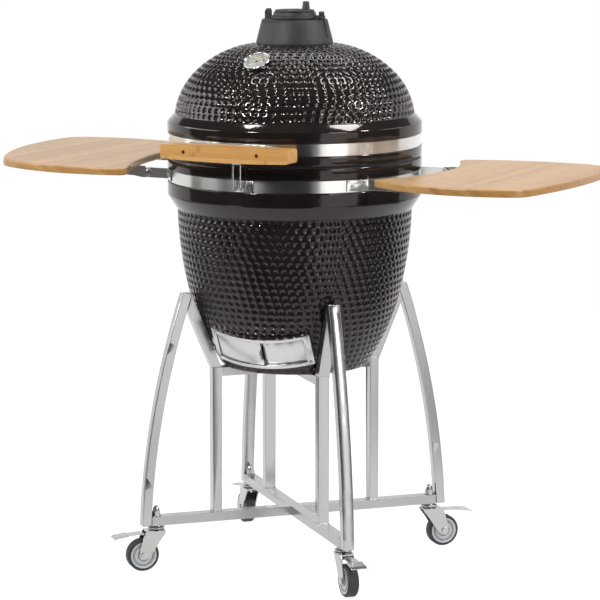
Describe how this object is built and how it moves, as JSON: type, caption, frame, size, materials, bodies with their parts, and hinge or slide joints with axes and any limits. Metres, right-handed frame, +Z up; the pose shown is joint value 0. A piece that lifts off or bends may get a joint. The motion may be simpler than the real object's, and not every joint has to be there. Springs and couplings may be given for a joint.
{
  "type": "kamado ceramic grill",
  "caption": "Egg-shaped ceramic charcoal grill with a hinged lid, top and bottom vents, bamboo handle and fold-down side tables, on a steel cart with braked casters.",
  "frame": {"origin": "on the floor, under the vertical axis of the pot, at the centre of the object's footprint box", "axes": "+Z up; the front with the handle and the draft door faces -Y; the hinge is at +Y; the side tables are at +X and -X"},
  "size_m": [1.3733, 0.68, 1.226],
  "materials": {
    "glazed_ceramic": "glossy black glaze",
    "fire_ceramic": "bare fired clay",
    "felt": "black felt",
    "stainless_band": "polished along the band",
    "stainless_cart": "satin",
    "stainless_fittings": "polished",
    "screws": "plain",
    "spring_steel": "dark",
    "bamboo": "oiled bamboo",
    "cast_iron": "matte black",
    "grate_steel": "plain",
    "chrome": "bright",
    "dial": "satin",
    "glass": "clear",
    "zinc_steel": "bright zinc",
    "wheel_plastic": "satin light grey",
    "tyre_rubber": "matte black"
  },
  "bodies": {
    "cart": {"bowl": "glazed_ceramic", "firebox": "fire_ceramic", "fire_ring": "fire_ceramic", "base_gasket": "felt", "lower_band": "stainless_band", "lower_cross": "stainless_cart", "upper_cross": "stainless_cart", "leg_front_right": "stainless_cart", "leg_rear_right": "stainless_cart", "leg_rear_left": "stainless_cart", "leg_front_left": "stainless_cart", "draft_frame": "stainless_fittings", "latch_bracket": "stainless_fittings", "hinge_lower": "stainless_fittings", "hinge_pin": "stainless_fittings", "table_mounts": "stainless_fittings", "table_pins": "stainless_fittings", "band_screws": "screws", "draft_screws": "screws", "hinge_springs": "spring_steel", "charcoal_grate": "cast_iron", "caster_stems": "zinc_steel"},
    "lid": {"lid_dome": "glazed_ceramic", "lid_gasket": "felt", "upper_band": "stainless_band", "handle_bar": "bamboo", "handle_bracket": "stainless_fittings", "handle_screws": "screws", "latch_catch": "stainless_fittings", "thermometer_case": "chrome", "thermometer_dial": "dial", "thermometer_glass": "glass", "vent_base": "cast_iron", "hinge_upper": "stainless_fittings"},
    "vent_slider": {"vent_slider": "cast_iron"},
    "daisy_wheel": {"daisy_wheel": "cast_iron"},
    "cooking_grate": {"cooking_grate": "grate_steel"},
    "draft_door": {"draft_door": "stainless_fittings"},
    "draft_screen": {"draft_screen": "stainless_fittings"},
    "latch_bail": {"latch_bail": "stainless_fittings"},
    "table_left": {"table_left": "bamboo", "table_arms_left": "stainless_fittings"},
    "table_right": {"table_right": "bamboo", "table_arms_right": "stainless_fittings"},
    "swivel_front_right": {"caster_fork_front_right": "zinc_steel"},
    "wheel_front_right": {"caster_wheel_front_right": "wheel_plastic", "caster_tyre_front_right": "tyre_rubber"},
    "pedal_front_right": {"caster_pedal_front_right": "zinc_steel"},
    "swivel_rear_right": {"caster_fork_rear_right": "zinc_steel"},
    "wheel_rear_right": {"caster_wheel_rear_right": "wheel_plastic", "caster_tyre_rear_right": "tyre_rubber"},
    "pedal_rear_right": {"caster_pedal_rear_right": "zinc_steel"},
    "swivel_rear_left": {"caster_fork_rear_left": "zinc_steel"},
    "wheel_rear_left": {"caster_wheel_rear_left": "wheel_plastic", "caster_tyre_rear_left": "tyre_rubber"},
    "pedal_rear_left": {"caster_pedal_rear_left": "zinc_steel"},
    "swivel_front_left": {"caster_fork_front_left": "zinc_steel"},
    "wheel_front_left": {"caster_wheel_front_left": "wheel_plastic", "caster_tyre_front_left": "tyre_rubber"},
    "pedal_front_left": {"caster_pedal_front_left": "zinc_steel"}
  },
  "joints": [
    {"name": "lid_hinge", "type": "hinge", "parent": "cart", "child": "lid", "pos_m": [0, 0.318, 0.897], "axis": [-1, 0, 0], "range_deg": [0, 70]},
    {"name": "vent_swing", "type": "hinge", "parent": "lid", "child": "vent_slider", "pos_m": [0.064, 0, 1.19], "axis": [0, 0, 1], "range_deg": [0, 60]},
    {"name": "daisy_turn", "type": "hinge", "parent": "vent_slider", "child": "daisy_wheel", "pos_m": [0, 0, 1.205], "axis": [0, 0, 1], "continuous": true},
    {"name": "grate_lift", "type": "slide", "parent": "cart", "child": "cooking_grate", "axis": [0, 0, 1], "range_m": [0, 0.04]},
    {"name": "draft_door_slide", "type": "hinge", "parent": "cart", "child": "draft_door", "pos_m": [0, 0, 0.5906], "axis": [0.0238, -0.4534, 0.891], "range_deg": [0, 22]},
    {"name": "draft_screen_slide", "type": "hinge", "parent": "cart", "child": "draft_screen", "pos_m": [0, 0, 0.5906], "axis": [0.0238, -0.4534, 0.891], "range_deg": [0, 22]},
    {"name": "latch_swing", "type": "hinge", "parent": "cart", "child": "latch_bail", "pos_m": [0.008, -0.29, 0.853], "axis": [1, 0, 0], "range_deg": [0, 165]},
    {"name": "table_right_fold", "type": "hinge", "parent": "cart", "child": "table_right", "pos_m": [0.292, 0, 0.856], "axis": [0, 1, 0], "range_deg": [0, 90]},
    {"name": "table_left_fold", "type": "hinge", "parent": "cart", "child": "table_left", "pos_m": [-0.292, 0, 0.856], "axis": [0, -1, 0], "range_deg": [0, 90]},
    {"name": "swivel_front_right", "type": "hinge", "parent": "cart", "child": "swivel_front_right", "pos_m": [0.22486, -0.22486, 0.088], "axis": [0, 0, 1], "continuous": true},
    {"name": "roll_front_right", "type": "hinge", "parent": "swivel_front_right", "child": "wheel_front_right", "pos_m": [0.24749, -0.24749, 0.035], "axis": [0.7071, 0.7071, 0], "continuous": true},
    {"name": "brake_front_right", "type": "hinge", "parent": "swivel_front_right", "child": "pedal_front_right", "pos_m": [0.23335, -0.23335, 0.079], "axis": [0.7071, 0.7071, 0], "range_deg": [0, 10]},
    {"name": "swivel_rear_right", "type": "hinge", "parent": "cart", "child": "swivel_rear_right", "pos_m": [0.22486, 0.22486, 0.088], "axis": [0, 0, 1], "continuous": true},
    {"name": "roll_rear_right", "type": "hinge", "parent": "swivel_rear_right", "child": "wheel_rear_right", "pos_m": [0.24749, 0.24749, 0.035], "axis": [-0.7071, 0.7071, 0], "continuous": true},
    {"name": "brake_rear_right", "type": "hinge", "parent": "swivel_rear_right", "child": "pedal_rear_right", "pos_m": [0.23335, 0.23335, 0.079], "axis": [-0.7071, 0.7071, 0], "range_deg": [0, 10]},
    {"name": "swivel_rear_left", "type": "hinge", "parent": "cart", "child": "swivel_rear_left", "pos_m": [-0.22486, 0.22486, 0.088], "axis": [0, 0, 1], "continuous": true},
    {"name": "roll_rear_left", "type": "hinge", "parent": "swivel_rear_left", "child": "wheel_rear_left", "pos_m": [-0.24749, 0.24749, 0.035], "axis": [-0.7071, -0.7071, 0], "continuous": true},
    {"name": "brake_rear_left", "type": "hinge", "parent": "swivel_rear_left", "child": "pedal_rear_left", "pos_m": [-0.23335, 0.23335, 0.079], "axis": [-0.7071, -0.7071, 0], "range_deg": [0, 10]},
    {"name": "swivel_front_left", "type": "hinge", "parent": "cart", "child": "swivel_front_left", "pos_m": [-0.22486, -0.22486, 0.088], "axis": [0, 0, 1], "continuous": true},
    {"name": "roll_front_left", "type": "hinge", "parent": "swivel_front_left", "child": "wheel_front_left", "pos_m": [-0.24749, -0.24749, 0.035], "axis": [0.7071, -0.7071, 0], "continuous": true},
    {"name": "brake_front_left", "type": "hinge", "parent": "swivel_front_left", "child": "pedal_front_left", "pos_m": [-0.23335, -0.23335, 0.079], "axis": [0.7071, -0.7071, 0], "range_deg": [0, 10]}
  ]
}
